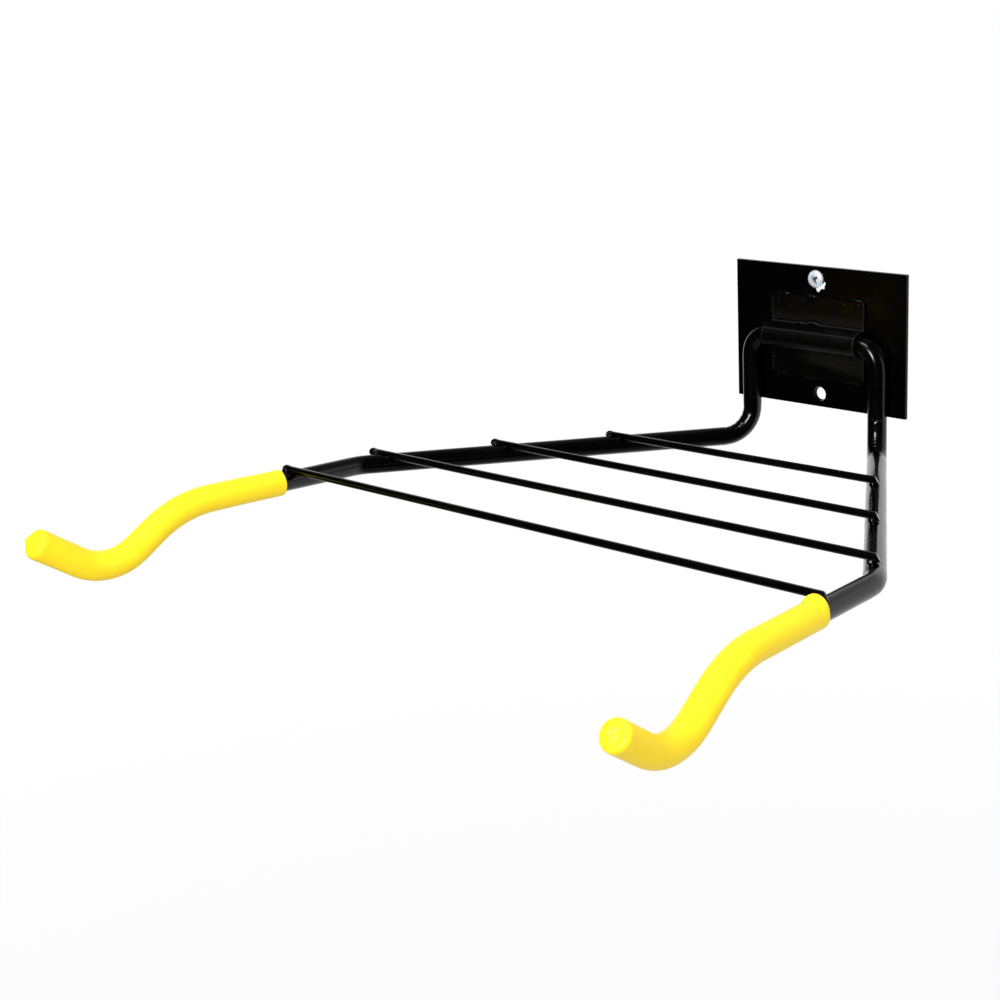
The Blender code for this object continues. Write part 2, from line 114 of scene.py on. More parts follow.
# Cross rods
ROD_RADIUS = 2.4 * MM
ROD_SIDES = 44
ROD_REACHES = (94 * MM, 161.5 * MM, 229.5 * MM, 299 * MM)
ROD_LEFT_ENDS = (6.8 * MM, 8.2 * MM, 12.5 * MM, 5.3 * MM)  # past the arms' centre lines
ROD_RIGHT_ENDS = (0.8 * MM, 1.6 * MM, 2.4 * MM, 2.9 * MM)
ROD_LEFT_SINKS = (2.4 * MM, 2.0 * MM, 2.6 * MM, 1.8 * MM)  # how deep the welding presses them in
ROD_RIGHT_SINKS = (0, 0, 0, 0.8 * MM)
ROD_CUT_BACK = 0.68  # slant of the sheared right ends
ROD_CUT_UP = 0.72
ROD_LEFT_CUT_BACK = 0.35
ROD_SLANT_START = 9 * MM  # how far before the ends the slants begin, and are full
ROD_LEFT_SLANT_START = 6 * MM
ROD_SLANT_FULL = 2 * MM
WELD_HALF_AXES = (3.2 * MM, 2.3 * MM, 2.0 * MM)  # across the arm, along it and up
WELD_SIZES = ((1, 1.0), (-1, 0.8))  # way along the arm, and size
WELD_OFFSET = 2.1 * MM
WELD_RINGS, WELD_SIDES = 26, 40
LEFT_WELD_SHIFTS = (-2.5 * MM, -2.8 * MM, -4.6 * MM, -1.8 * MM)
RIGHT_WELD_SHIFT = -1.6 * MM
ROD_NOSE = 2.0 * MM  # rounding of the left ends
ROD_BULB = 0.17  # share by which they are thicker, its place and its width
ROD_BULB_PLACE = 1.8 * MM
ROD_BULB_WIDTH = 1.6 * MM
ROD_EDGE = 0.4 * MM  # rounding of the right ends
ROD_SEAT = 0.3 * MM  # between rod and arm, where the welds fill in

# Wall plate and hinge strap
PLATE_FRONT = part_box("wall_plate")[0][1]
PLATE_HALF_WIDTH, _, PLATE_HALF_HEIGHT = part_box("wall_plate")[1]
PLATE_RIM = 0.35 * MM  # rounding of its edges
HOLE_HEIGHT = 39.5 * MM
# The upper and the lower hole: place, distance from the plate's middle, front radius and back radius
HOLES = (
    (-0.8 * MM, HOLE_HEIGHT, 4.3 * MM, 4.2 * MM),
    (0.5 * MM, HOLE_HEIGHT - 0.2 * MM, 4.95 * MM, 4.2 * MM),
)
BORE_BEVEL = 0.1 * MM
SHEET = 1.6 * MM
SHEET_MIDDLE_Y = PLATE_FRONT - 0.3 * MM - SHEET / 2
STRAP_RIM = 0.35 * MM  # rounding of the sheet's edges
STRAP_HALF_LENGTH = 37 * MM
STRAP_HALF_HEIGHT = 28 * MM
STRAP_CORNER = 3 * MM
STRAP_FOLD = 2.0 * MM  # folds and barrel at the middle of the sheet
DART_FOLD = 4.2 * MM
DART_LOBES = ((-17.5 * MM, -10.0 * MM, 0.6), (-11.5 * MM, 4.5 * MM, 1.0))  # ends, and share of the depth
BARREL_RADIUS = 7.75 * MM
STITCHES = ((-29 * MM, 7 * MM), (-6 * MM, 6 * MM), (27 * MM, 8 * MM))
STITCH_HALF_DEPTH = 0.9 * MM
STITCH_HALF_HEIGHT = 1.5 * MM
STITCH_OVERLAP = 0.5 * MM  # on the strap
STITCH_DRIFT = 0.25 * MM
STITCH_RIPPLE = 0.55 * MM
# How grey the strap is painted: painted highlights along its fold, barrel ridge and end edges, painted sheen on
# the barrel, painted reflection below the barrel, and a greyer band above the fold
STRAP_SHEEN_LEVELS = {"fold": 0.5, "above_fold": 0.10, "ridge": 0.32, "barrel": 0.06, "left_end": 0.40, "right_end": 0.22,
        "below_barrel": 0.12}

# Screw
SCREW_X = -1.8 * MM  # the screw sits a little to the left
SCREW_HEIGHT = 39.7 * MM
HEAD_SEAT = PLATE_FRONT - 0.3 * MM
HEAD_RADIUS = 5.9 * MM
HEAD_HEIGHT = 2.8 * MM
HEAD_CROWN = 2.3 * MM
HEAD_POWER = 0.8
HEAD_SIDES = 256
# The head's rim and underside: shares of its radius, and how far each stands off the seat in millimetres
HEAD_RIM = ((1, 0.5), (1, 0.25), (0.995, 0.12), (0.975, 0.02), (0.9, 0), (0.6, 0), (0, 0))
SHANK_RADIUS = 2.8 * MM
SHANK_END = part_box("mounting_screw")[1][1]
SHANK_POINT = 7 * MM
SHANK_POINT_POWER = 0.75
THREAD_PITCH = 1.8 * MM
THREAD_DEPTH = 0.45 * MM
THREAD_RIDGE = 0.3  # half width of its ridge, as a share of the pitch
THREAD_START = (5 * MM, 7 * MM)
RECESS_LENGTHS = (6.0 * MM, 3.2 * MM)
RECESS_WIDTH = 0.95 * MM
RECESS_SLOPE = 0.12 * MM  # of the slots' sides
RECESS_DEPTH = 1.9 * MM
RECESS_TURN = math.radians(55)

# Torn collar of the wall plug
COLLAR_BORE = 4.6 * MM
COLLAR_RADIUS = 6.3 * MM
COLLAR_HALF_SHEET = 0.45 * MM
COLLAR_MIDDLE, COLLAR_HALF_TURN = -63, 49  # degrees
# Its lobes: height in millimetres, place and width
COLLAR_LOBES = ((2.3, -0.54, 0.30), (1.5, 0.22, 0.20), (0.5, 0.75, 0.12))

# Weld marks on the strap and the plate: place, and half width, depth and height, in millimetres
WELD_MARKS = (
    ((-31.0, -5.1, 22.6), (0.7, 0.30, 1.5)),
    ((-11.5, -5.1, 23.4), (0.8, 0.35, 1.9)),
    ((20.5, -5.1, 24.4), (1.3, 0.45, 1.2)),
    ((31.5, -5.1, 24.2), (2.0, 0.40, 1.5)),
    ((-49.1, -3.2, -14.3), (0.8, 0.56, 0.8)),
    ((-34.9, -5.1, -16.6), (0.6, 0.42, 0.6)),
    ((31.0, -5.1, -24.0), (0.45, 0.32, 0.45)),
)

# Unevenness of the surfaces: its height, and the run over which it changes
TUBE_UNEVENNESS = (0.025 * MM, 9 * MM)
SLEEVE_UNEVENNESS = (0.07 * MM, 14 * MM)
ROD_UNEVENNESS = (0.02 * MM, 12 * MM)
STRAP_UNEVENNESS = (0.05 * MM, 6 * MM)
STRAP_WAVES = 90  # radians per metre of height

# Colours: red, green, blue and opacity
BLACKS = ((0.0002, 0.0002, 0.0003, 1), (0.0006, 0.0006, 0.0007, 1))
DUST = (0.03, 0.03, 0.028, 1)
# grey of the strap's painted highlights and reflections
SHEEN_ENAMEL_GREY = (0.05, 0.05, 0.048, 1)
YELLOWS = ((1.0, 0.75, 0.018, 1), (1.0, 0.70, 0.014, 1))
FLOW_YELLOW = (0.98, 0.64, 0.011, 1)
PIT_YELLOW = (0.80, 0.50, 0.01, 1)
ZINCS = ((0.78, 0.82, 0.90, 1), (0.88, 0.86, 0.77, 1))
ZINC_STAIN = (0.42, 0.43, 0.46, 1)
# painted shade in the screw's recess: dark blue at the middle, pale blue further out
RECESS_SHADE_BLUES = ((0.03, 0.06, 0.14, 1), (0.42, 0.60, 0.82, 1))
PLUG_WHITES = ((0.90, 0.90, 0.88, 1), (0.68, 0.67, 0.62, 1))

# Camera, fitted to the photograph
CAMERA_AZIMUTH = math.radians(44.961)
CAMERA_ELEVATION = math.radians(16.642)
CAMERA_ROLL = math.radians(-3.004)
CAMERA_PLACE = (0.72155, -1.03806, 0.26854)
CAMERA_LENS = 67.54
CAMERA_SENSOR = 36

# Light
FLOOR_HEIGHT = -1.2
FLOOR_HALF_SIZE = 2.6
FLOOR_FADE = (1.2, 2.4)  # distances from its middle between which it fades out
FLOOR_GREY = 0.55
FLOOR_WHITE_SHARE = 0.9  # of plain white in what the camera sees of it
# Strength of the world's light on matt surfaces, and the directions' X or Z between which it changes
LEFT_FILL, RIGHT_FILL = 0.30, 0.86
SIDE_FILL_TURN = (-0.2, 0.9)
TOP_FILL = 0.80  # what is added from above
TOP_FILL_TURN = (0.2, 0.9)
# Strength of what gloss mirrors, and the directions' Y or Z between which it changes
DARK_ROOM = 0.008
WALL_TURN = (0.05, 0.42)
CEILING, CEILING_TURN = 0.15, (0.35, 0.7)
GROUND, GROUND_TURN = 0.2, (-0.45, -0.8)
LAMP_AIM = (0, -0.25, -0.03)
LAMPS = (  # name, place, width, height and watts
    ("front_lamp", (0.39, -2.05, 0.72), 0.4, 0.8, 28),
    ("top_lamp", (-0.115, -1.335, 2.0), 0.8, 0.8, 12),
)


def unit(vectors):
    return vectors / np.linalg.norm(vectors, axis=-1, keepdims=True)


def turned(vector, axis, angles):
    """A vector turned about a unit axis by each angle: its part along the axis stays, the rest goes round."""
    angles = np.atleast_1d(angles)[:, None]
    along = axis * (vector @ axis)
    return along + np.cos(angles) * (vector - along) + np.sin(angles) * np.cross(axis, vector)


def wobble(first, second, seed, turns=3):
    """Smooth unevenness from about -1 to 1: a sum of sines of both parameters, the second one an angle."""
    dice = np.random.default_rng(seed)
    total = 0
    for _ in range(6):
        pace, round_it = dice.uniform(0.5, 1.6), dice.integers(-turns, turns + 1)
        total = total + np.sin(pace * first + round_it * second + dice.uniform(0, 2 * math.pi))
    return total / 3


def uneven(size, run, angles, seed):
    """A surface's unevenness, from its height and the run over which it changes."""
    height, pace = size
    return height * wobble(run / pace, angles, seed)


def bell(value, middle, width):
    """A bell curve: one at the middle, and nought far from it."""
    return np.exp(-((value - middle) / width) ** 2)


def swell(value, low, high):
    """Nought at both ends and outside them, one half way: the square of a sine."""
    return np.sin(math.pi * np.clip((value - low) / (high - low), 0, 1)) ** 2


def ease(value, low, high):
    """Nought below, one above, and a smooth S between."""
    share = np.clip((value - low) / (high - low), 0, 1)
    return share * share * (3 - 2 * share)


class Route:
    """A centre line of straights joined by arcs, finely sampled, with frames that follow without twisting.

    On an arc the point is the middle of the bend plus a spoke that turns about the bend's axis, and the
    heading and the normal turn with it. The inward vector points to the middle of the bend, and is nought
    on a straight.
    """

    def __init__(self, corners, radii, normal):
        self.stretches = []
        start = corners[0]
        for before, here, after, radius in zip(corners, corners[1:], corners[2:], radii):
            forward, onward = unit(here - before), unit(after - here)
            angle = math.acos(forward @ onward)
            axis = unit(np.cross(forward, onward))
            inward = np.cross(axis, forward)
            arc_start = here - forward * radius * math.tan(angle / 2)
            self.add_straight(start, arc_start, normal)
            angles = np.linspace(0, angle, max(8, round(angle * radius / ROUTE_SPACING)))
            spokes = turned(-inward, axis, angles)
            normals = turned(normal, axis, angles)
            self.stretches.append((arc_start + radius * (inward + spokes), turned(forward, axis, angles),
                                   normals, -spokes))
            start, normal = self.stretches[-1][0][-1], normals[-1]
        self.add_straight(start, corners[-1], normal)
        values = [np.concatenate(parts) for parts in zip(*self.stretches)]
        steps = np.linalg.norm(np.diff(values[0], axis=0), axis=1)
        kept = np.concatenate(([True], steps > MERGE_DISTANCE))
        self.values = [value[kept] for value in values]
        steps = np.linalg.norm(np.diff(self.values[0], axis=0), axis=1)
        self.run = np.concatenate(([0.0], np.cumsum(steps)))

    def add_straight(self, start, end, normal):
        count = max(2, round(np.linalg.norm(end - start) / (3 * ROUTE_SPACING)))
        heading = unit(end - start)
        self.stretches.append((np.linspace(start, end, count), np.tile(heading, (count, 1)),
                               np.tile(normal, (count, 1)), np.zeros((count, 3))))

    def at(self, runs):
        """Point, heading, normal and inward vector at each run; past the ends the line goes straight on."""
        found = [np.stack([np.interp(runs, self.run, value[:, axis]) for axis in range(3)], axis=1)
                 for value in self.values]
        over = runs - np.clip(runs, 0, self.run[-1])
        heading = unit(found[1])
        return found[0] + heading * over[:, None], heading, unit(found[2]), found[3]

    def circles(self, runs, sides):
        """Centres, spokes, angles and how far each spoke leans into the bend, as grids of run and angle."""
        point, heading, normal, inward = self.at(runs)
        angles = np.linspace(0, 2 * math.pi, sides, endpoint=False)
        side = np.cross(heading, normal)
        cosine, sine = np.cos(angles)[None, :, None], np.sin(angles)[None, :, None]
        spokes = normal[:, None] * cosine + side[:, None] * sine
        lean = np.einsum("rcx,rx->rc", spokes, inward)
        return point[:, None], spokes, np.tile(angles, (len(runs), 1)), lean


def arm_height(reach):
    return -LEG_DROP + ARM_RISE * (reach + AXIS_Y)


def arm_x(reach):
    if reach > KINK_REACH:
        return KINK_X + HOOK_SPLAY * (reach - KINK_REACH)
    return LEG_X + (reach + AXIS_Y) / (KINK_REACH + AXIS_Y) * (KINK_X - LEG_X)


def arm_point(reach):
    return np.array([arm_x(reach), -reach, arm_height(reach)])


def frame_route(*tip_straights):
    """The frame's centre line, from the left hook's tip to the right hook's, for the two tips' lengths."""
    kink = arm_point(KINK_REACH)
    forward = unit(arm_point(KINK_REACH + MM) - kink)
    sideways = unit(np.cross(forward, [0, 0, 1.0]))
    downward = turned(forward, sideways, -DIP_ANGLE)[0]
    upward = turned(downward, sideways, CRADLE_ANGLE)[0]
    dip_tangent = DIP_BEND * math.tan(DIP_ANGLE / 2)
    cradle_tangent = CRADLE_BEND * math.tan(CRADLE_ANGLE / 2)
    dip = kink + forward * (CRADLE_START + dip_tangent)
    cradle = dip + downward * (dip_tangent + DIP_STRAIGHT + cradle_tangent)
    left_tip, right_tip = (cradle + upward * (cradle_tangent + straight) for straight in tip_straights)
    leg_top, leg_foot = np.array([LEG_X, AXIS_Y, 0]), np.array([LEG_X, AXIS_Y, -LEG_DROP])
    right = [leg_top, leg_foot, kink, dip, cradle, right_tip]
    left = [corner * (-1, 1, 1) for corner in [left_tip] + right[-2::-1]]
    bends = [CROSSBAR_BEND, LEG_BEND, KINK_BEND, DIP_BEND, CRADLE_BEND]
    first_normal = unit(np.cross([1.0, 0, 0], unit(left[1] - left[0])))
    return Route(left + right, bends[::-1] + bends, first_normal)


def ring_grid(first, sides):
    """Grids of a surface's two parameters: the first one's values, and the angles of a full turn."""
    return np.meshgrid(first, np.linspace(0, 2 * math.pi, sides, endpoint=False), indexing="ij")


def ring_faces(rows, columns, first):
    """Quads between rings of points, each ring closed on itself."""
    index = first + np.arange(rows * columns).reshape(rows, columns)
    near, far = index[:-1], index[1:]
    return np.stack([near, np.roll(near, -1, axis=1), np.roll(far, -1, axis=1), far], axis=-1).reshape(-1, 4)


def make_piece(name, shells, material, body, node="", crease=50, painted_sheen=None, halved=False):
    """A mesh of closed shells, each a grid of rings whose first and last rings close in on themselves.

    Doubled points are merged, and each shell's faces are turned outwards. The first shell may carry its points'
    painted sheen, the painted highlights and reflections on them. A halved piece is left open where its two
    shells meet, at half height.
    """
    counts = np.cumsum([0] + [shell.shape[0] * shell.shape[1] for shell in shells])
    points = np.concatenate([shell.reshape(-1, 3) for shell in shells])
    faces = np.concatenate([ring_faces(*shell.shape[:2], first) for shell, first in zip(shells, counts)])
    if halved:
        faces = faces[(np.abs(points[faces][..., 2]) > 1e-9).any(axis=1)]
    mesh = bpy.data.meshes.new(name)
    mesh.from_pydata(points.tolist(), [], faces.tolist())
    # painted highlights and reflections, one value a point
    if painted_sheen is not None:
        sheen_paint = np.concatenate((painted_sheen.ravel(), np.zeros(len(points) - painted_sheen.size))).astype(np.float32)
        mesh.attributes.new("painted_sheen", "FLOAT", "POINT").data.foreach_set("value", sheen_paint)
    merged = bmesh.new()
    merged.from_mesh(mesh)
    bmesh.ops.remove_doubles(merged, verts=merged.verts, dist=MERGE_DISTANCE)
    bmesh.ops.recalc_face_normals(merged, faces=merged.faces)
    merged.to_mesh(mesh)
    merged.free()
    mesh.shade_smooth()
    mesh.set_sharp_from_angle(angle=math.radians(crease))
    mesh.materials.append(material)
    piece = bpy.data.objects.new(name, mesh)
    bpy.context.scene.collection.objects.link(piece)
    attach(piece, body)
    if node:
        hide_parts(node)


class Wire:
    """A socket's value in a shader. Sums and products of wires add the Math nodes that work them out."""

    def __init__(self, finish, socket):
        self.finish = finish
        self.socket = socket

    def __add__(self, other):
        return self.finish.maths("ADD", self, other)

    def __mul__(self, other):
        return self.finish.maths("MULTIPLY", self, other)

    def __sub__(self, other):
        return self.finish.maths("SUBTRACT", self, other)

    def __rsub__(self, other):
        return self.finish.maths("SUBTRACT", other, self)


class Finish:
    """A material made of nodes, with the patterns that the rack's finishes share."""

    def __init__(self, name, **fixed):
        self.material = bpy.data.materials.new(name)
        self.material.use_nodes = True
        self.tree = self.material.node_tree
        self.shader = self.tree.nodes["Principled BSDF"]
        for socket, value in fixed.items():
            self.shader.inputs[socket.replace("_", " ")].default_value = value
        self.place = self.node("ShaderNodeTexCoord", {}, (), "Object")

    def node(self, kind, settings, values, output=0):
        """Adds a node: its settings first, then its sockets by place or name."""
        node = self.tree.nodes.new(kind)
        for name, value in settings.items():
            setattr(node, name, value)
        pairs = values.items() if isinstance(values, dict) else enumerate(values)
        for socket, value in pairs:
            if isinstance(value, Wire):
                self.tree.links.new(value.socket, node.inputs[socket])
            else:
                node.inputs[socket].default_value = value
        return Wire(self, node.outputs[output])

    def maths(self, operation, first, second):
        return self.node("ShaderNodeMath", {"operation": operation}, (first, second))

    def ray(self, kind):
        """One where the light's ray is of this kind."""
        return self.node("ShaderNodeLightPath", {}, (), f"Is {kind} Ray")

    def distance(self, first, second):
        return self.node("ShaderNodeVectorMath", {"operation": "DISTANCE"}, (first, second), "Value")

    def noise(self, size, detail, roughness=0.5):
        """Cloudy noise from 0 to 1, in patches of about this size."""
        return self.node("ShaderNodeTexNoise", {}, {"Vector": self.place, "Scale": 1 / size, "Detail": detail,
                                                    "Roughness": roughness})

    def specks(self, spacing, size, share):
        """One on small round specks: this far apart, this big, and only this share of them."""
        sockets = {"Vector": self.place, "Scale": 1 / spacing}
        distance = self.node("ShaderNodeTexVoronoi", {}, sockets, "Distance")
        cell = self.node("ShaderNodeTexVoronoi", {}, sockets, "Color")
        pick = self.node("ShaderNodeSeparateColor", {}, (cell,))
        return self.steps(distance, 0.5 * size / spacing, 0.2 * size / spacing) * self.steps(pick, 1 - share, 1)

    def steps(self, value, low, high, bottom=0.0, top=1.0):
        """Value carried from low..high to bottom..top, and held there outside."""
        return self.node("ShaderNodeMapRange", {"clamp": True}, (value, low, high, bottom, top))

    def mix(self, share, first, second):
        """Colour from the first to the second as the share goes from 0 to 1."""
        return self.node("ShaderNodeMix", {"data_type": "RGBA"}, {0: share, 6: first, 7: second}, 2)

    def bump(self, height, distance, under=None):
        """Normal of a height that stands this far out where it is one, on another bump or the bare surface."""
        sockets = {"Height": height, "Distance": distance, "Strength": 1.0}
        if under:
            sockets["Normal"] = under
        return self.node("ShaderNodeBump", {}, sockets)

    def done(self, base, rough, normal):
        for name, wire in (("Base Color", base), ("Roughness", rough), ("Normal", normal)):
            self.tree.links.new(wire.socket, self.shader.inputs[name])
        return self.material


def enamel(name, gloss, grain, specular, dust=0.05, sheen_paint=False):
    """Black baked enamel: a faint orange peel, cloudy gloss, and a few specks of dust under the gloss.

    Where asked, it is painted greyer by its piece's painted sheen: painted highlights and reflections.
    """
    finish = Finish(name, Specular_IOR_Level=specular)
    clouds = finish.noise(18 * MM, 4)
    fine = finish.noise(0.6 * MM, 2)
    peel = finish.noise(2.4 * MM, 2, 0.4)
    specks = finish.specks(3.2 * MM, 0.9 * MM, dust)
    shade = finish.mix(specks, finish.mix(clouds, *BLACKS), DUST)
    if sheen_paint:
        # painted highlights and reflections, greyer where the piece's painted sheen is strong
        painted_sheen = finish.node("ShaderNodeAttribute", {"attribute_name": "painted_sheen"}, (), "Fac")
        shade = finish.mix(painted_sheen * finish.steps(fine, 0.35, 0.6, 0.55, 1.0), shade, SHEEN_ENAMEL_GREY)
    rough = finish.steps(clouds, 0.3, 0.7, gloss - 0.04, gloss + 0.06) + fine * grain + specks * 0.2
    normal = finish.bump(peel, 0.02 * MM)
    normal = finish.bump(fine, grain * 0.06 * MM, normal)
    normal = finish.bump(specks, 0.03 * MM, normal)
    return finish.done(shade, rough, normal)


def dipped_vinyl():
    """Yellow dip-moulded vinyl: satin, slightly cloudy, with shallow flow marks and fine pits.

    The dripped ends are glossier than the rest.
    """
    finish = Finish("yellow_vinyl_skin", Specular_IOR_Level=0.16, Coat_Roughness=0.07)
    clouds = finish.noise(26 * MM, 3)
    flow = finish.noise(7 * MM, 3)
    fine = finish.noise(0.9 * MM, 3)
    pits = finish.specks(5.5 * MM, 1.2 * MM, 0.10)
    shade = finish.mix(finish.steps(flow, 0.50, 0.75, 0.0, 0.4), finish.mix(clouds, *YELLOWS), FLOW_YELLOW)
    shade = finish.mix(pits, shade, PIT_YELLOW)
    rough = finish.steps(flow, 0.3, 0.7, 0.30, 0.42) + fine * 0.06
    ends = [frame_route(*[TIP_STRAIGHTS[side]] * 2).values[0][-1] * (side, 1, 1) for side in (-1, 1)]
    to_ends = [finish.distance(finish.place, tuple(end)) for end in ends]
    dripped = finish.steps(finish.maths("MINIMUM", *to_ends), 9 * MM, 5.5 * MM)
    finish.tree.links.new(dripped.socket, finish.shader.inputs["Coat Weight"])
    normal = finish.bump(flow, 0.10 * MM)
    normal = finish.bump(fine, 0.008 * MM, normal)
    normal = finish.bump(1 - pits, 0.05 * MM, normal)
    return finish.done(shade, rough, normal)


def bright_zinc():
    """Bright zinc plate: cloudy, faintly bluish and yellowish, with small dull stains, and painted shade in the
    recess.

    The recess is told from the rest by its distance from the screw's axis and its depth in the head. Its
    painted shade is dark blue in the middle and pale blue further out.
    """
    finish = Finish("zinc_skin", Metallic=0.3)
    clouds = finish.noise(2.5 * MM, 4)
    fine = finish.noise(0.25 * MM, 3)
    stains = finish.steps(finish.noise(1.2 * MM, 4), 0.52, 0.66)
    shade = finish.mix(stains, finish.mix(clouds, *ZINCS), ZINC_STAIN)
    flat = finish.node("ShaderNodeVectorMath", {"operation": "MULTIPLY"}, (finish.place, (1, 0, 1)))
    from_axis = finish.distance(flat, (SCREW_X, 0, SCREW_HEIGHT))
    sunk = finish.node("ShaderNodeSeparateXYZ", {}, (finish.place,), "Y")
    deep = finish.steps(sunk, HEAD_SEAT - 2.1 * MM, HEAD_SEAT - 1.6 * MM)
    deep = deep * finish.steps(from_axis, 4.8 * MM, 4.5 * MM)
    deep = deep * finish.steps(sunk, HEAD_SEAT - 0.4 * MM, HEAD_SEAT - 0.6 * MM)
    # painted shade in the recess: dark blue at the middle, pale blue further out
    shade = finish.mix(deep, shade, finish.mix(finish.steps(from_axis, 1.4 * MM, 3.4 * MM), *RECESS_SHADE_BLUES))
    rough = finish.steps(clouds, 0.3, 0.7, 0.20, 0.34) + fine * 0.08
    return finish.done(shade, rough, finish.bump(fine, 0.012 * MM))


def chipped_plastic():
    """White plastic of a wall plug's collar: matt and a little grimy."""
    finish = Finish("plug_white")
    grime = finish.noise(1.1 * MM, 4)
    shade = finish.mix(finish.steps(grime, 0.45, 0.7), *PLUG_WHITES)
    return finish.done(shade, finish.steps(grime, 0.3, 0.7, 0.45, 0.65), finish.bump(grime, 0.05 * MM))


def tube_piece(route):
    """The frame tube: circles on the route, a little flat at each bend and puckered inside the leg bends."""
    bend_length = CROSSBAR_BEND * math.pi / 2
    foot = (LEG_X - CROSSBAR_BEND) + bend_length + (LEG_DROP - CROSSBAR_BEND - LEG_BEND)
    middle = np.interp(0, route.values[0][:, 0], route.run)
    finer = np.linspace(foot - TUBE_FINE_STRETCH, foot - 0.3 * MM, 40)
    runs = np.unique(np.concatenate((route.run, middle + finer, middle - finer)))
    centre, spokes, angles, lean = route.circles(runs, TUBE_SIDES)
    runs = np.tile(runs[:, None], TUBE_SIDES)
    from_middle = np.abs(runs - middle)
    puckered = swell(from_middle, foot - 2 * MM, foot + LEG_BEND * math.pi / 2 + 2 * MM)
    pucker = np.clip(lean - 0.5, 0, 1) * puckered * np.sin(2 * math.pi * from_middle / TUBE_PUCKER_PITCH)
    flat = TUBE_FLATTENING * lean ** 2 + TUBE_OUTER_FLATTENING * np.clip(-lean, 0, 1) ** 2
    radius = TUBE_RADIUS * (1 - flat) + TUBE_PUCKER * pucker + uneven(TUBE_UNEVENNESS, runs, angles, 3)
    for start, end, size, height in TUBE_MARKS:
        start, way = np.array(start) * MM, np.subtract(end, start) * MM
        from_start = centre + spokes * TUBE_RADIUS - start
        along = np.clip(from_start @ way / max(way @ way, 1e-12), 0, 1)
        distance = np.linalg.norm(from_start - along[..., None] * way, axis=-1)
        radius = radius + height * MM * bell(distance, 0, size * MM)
    rings = centre + spokes * radius[..., None]
    caps = [np.repeat(route.values[0][end][None, None], TUBE_SIDES, axis=1) for end in (0, -1)]
    make_piece("frame_tube_skin", [np.concatenate((caps[0], rings, caps[1]))], TUBE_ENAMEL, "folding_frame",
               "frame_tube")


def sleeve_profile(covered, side):
    """The sleeve's runs from its mouth and its radii: the bore, a cut lip, the body, and the dome.

    The dome's run is its depth times the root of one less a power of its radius, which keeps the end flat
    and the shoulder full.
    """
    mouth_radius, tip_radius = SLEEVE_MOUTH_RADII[side], SLEEVE_TIP_RADII[side]
    fullness = SLEEVE_FULLNESS[side]
    lip = np.linspace(0, math.pi, 17)
    lip_middle = (SLEEVE_BORE + mouth_radius) / 2
    lip_half = (mouth_radius - SLEEVE_BORE) / 2
    lip_runs = SLEEVE_LIP * (1 - np.sin(lip) ** 0.4)
    body = np.linspace(SLEEVE_LIP, covered + SLEEVE_SKIN, 340)[1:]
    taper = mouth_radius + (tip_radius - mouth_radius) * body / body[-1]
    turn = np.linspace(0, math.acos(SLEEVE_SHOULDER ** (1 / fullness)), 30)[1:]
    dome_share = np.concatenate((np.cos(turn) ** fullness, np.linspace(SLEEVE_SHOULDER, 0, 50)[1:]))
    dome_runs = body[-1] + SLEEVE_DOMES[side] * np.sqrt(1 - dome_share ** (2 / fullness))
    runs = np.concatenate(([SLEEVE_BORE_DEPTH] * 2, lip_runs, body, dome_runs))
    radii = np.concatenate(([0, SLEEVE_BORE], lip_middle - lip_half * np.cos(lip), taper,
                            tip_radius * dome_share))
    return runs, radii


def sleeve_piece(side):
    """A hook sleeve: its profile carried along its hook's route, uneven as a dipped skin is.

    A bell curve of the run lifts the top of its mouth, where it is stretched over the last rod's weld. On its
    end, another bell curve is the drip nub, and crossed sines under a third are the skin's small crumples.
    """
    route = frame_route(TIP_STRAIGHTS[side], TIP_STRAIGHTS[side])
    outer = route.run > route.run[-1] * 0.75
    mouth = np.interp(SLEEVE_REACHES[side], -route.values[0][outer, 1], route.run[outer])
    covered = route.run[-1] - mouth
    profile_runs, profile_radii = sleeve_profile(covered, side)
    centre, spokes, angles, lean = route.circles(mouth + profile_runs, SLEEVE_SIDES)
    runs, radii = (np.tile(values[:, None], SLEEVE_SIDES) for values in (profile_runs, profile_radii))
    outside = ease(radii, SLEEVE_BORE + 0.9 * MM, SLEEVE_MOUTH_RADII[side])
    dipped = uneven(SLEEVE_UNEVENNESS, runs, angles, 11 + side)
    crease = SLEEVE_CREASE * np.clip(lean - 0.3, 0, 1) * np.sin(2 * math.pi * runs / SLEEVE_CREASE_PITCH)
    upward = np.clip(spokes[..., 2], 0, 1) ** 2
    stretched = SLEEVE_STRETCH[side] * upward * np.exp(-(runs / SLEEVE_STRETCH_RUN) ** 4)
    rings = centre + spokes * (radii + outside * (dipped + crease + stretched))[..., None]
    face = ease(runs - covered - SLEEVE_SKIN, 0, 0.6 * SLEEVE_DOMES[side])
    place, height = SLEEVE_NUBS[side]
    outwards, upwards = radii * spokes[..., 0], radii * spokes[..., 2]
    nub = height * np.exp(-((outwards - place) ** 2 + upwards ** 2) / NUB_WIDTH ** 2)
    first, second = outwards / CRUMPLE_SIZES[0], upwards / CRUMPLE_SIZES[1]
    crumples = np.sin(first + 1.7 * np.sin(0.8 * second)) * np.sin(second + 1.5 * np.sin(0.7 * first + side))
    crumples = SLEEVE_CRUMPLES[side] * crumples * bell(radii, *CRUMPLE_RING)
    rings = rings + route.values[1][-1] * (face * (nub + crumples))[..., None]
    name = "left_hook_sleeve" if side < 0 else "right_hook_sleeve"
    make_piece(name + "_skin", [rings * (side, 1, 1)], VINYL, "folding_frame", name)


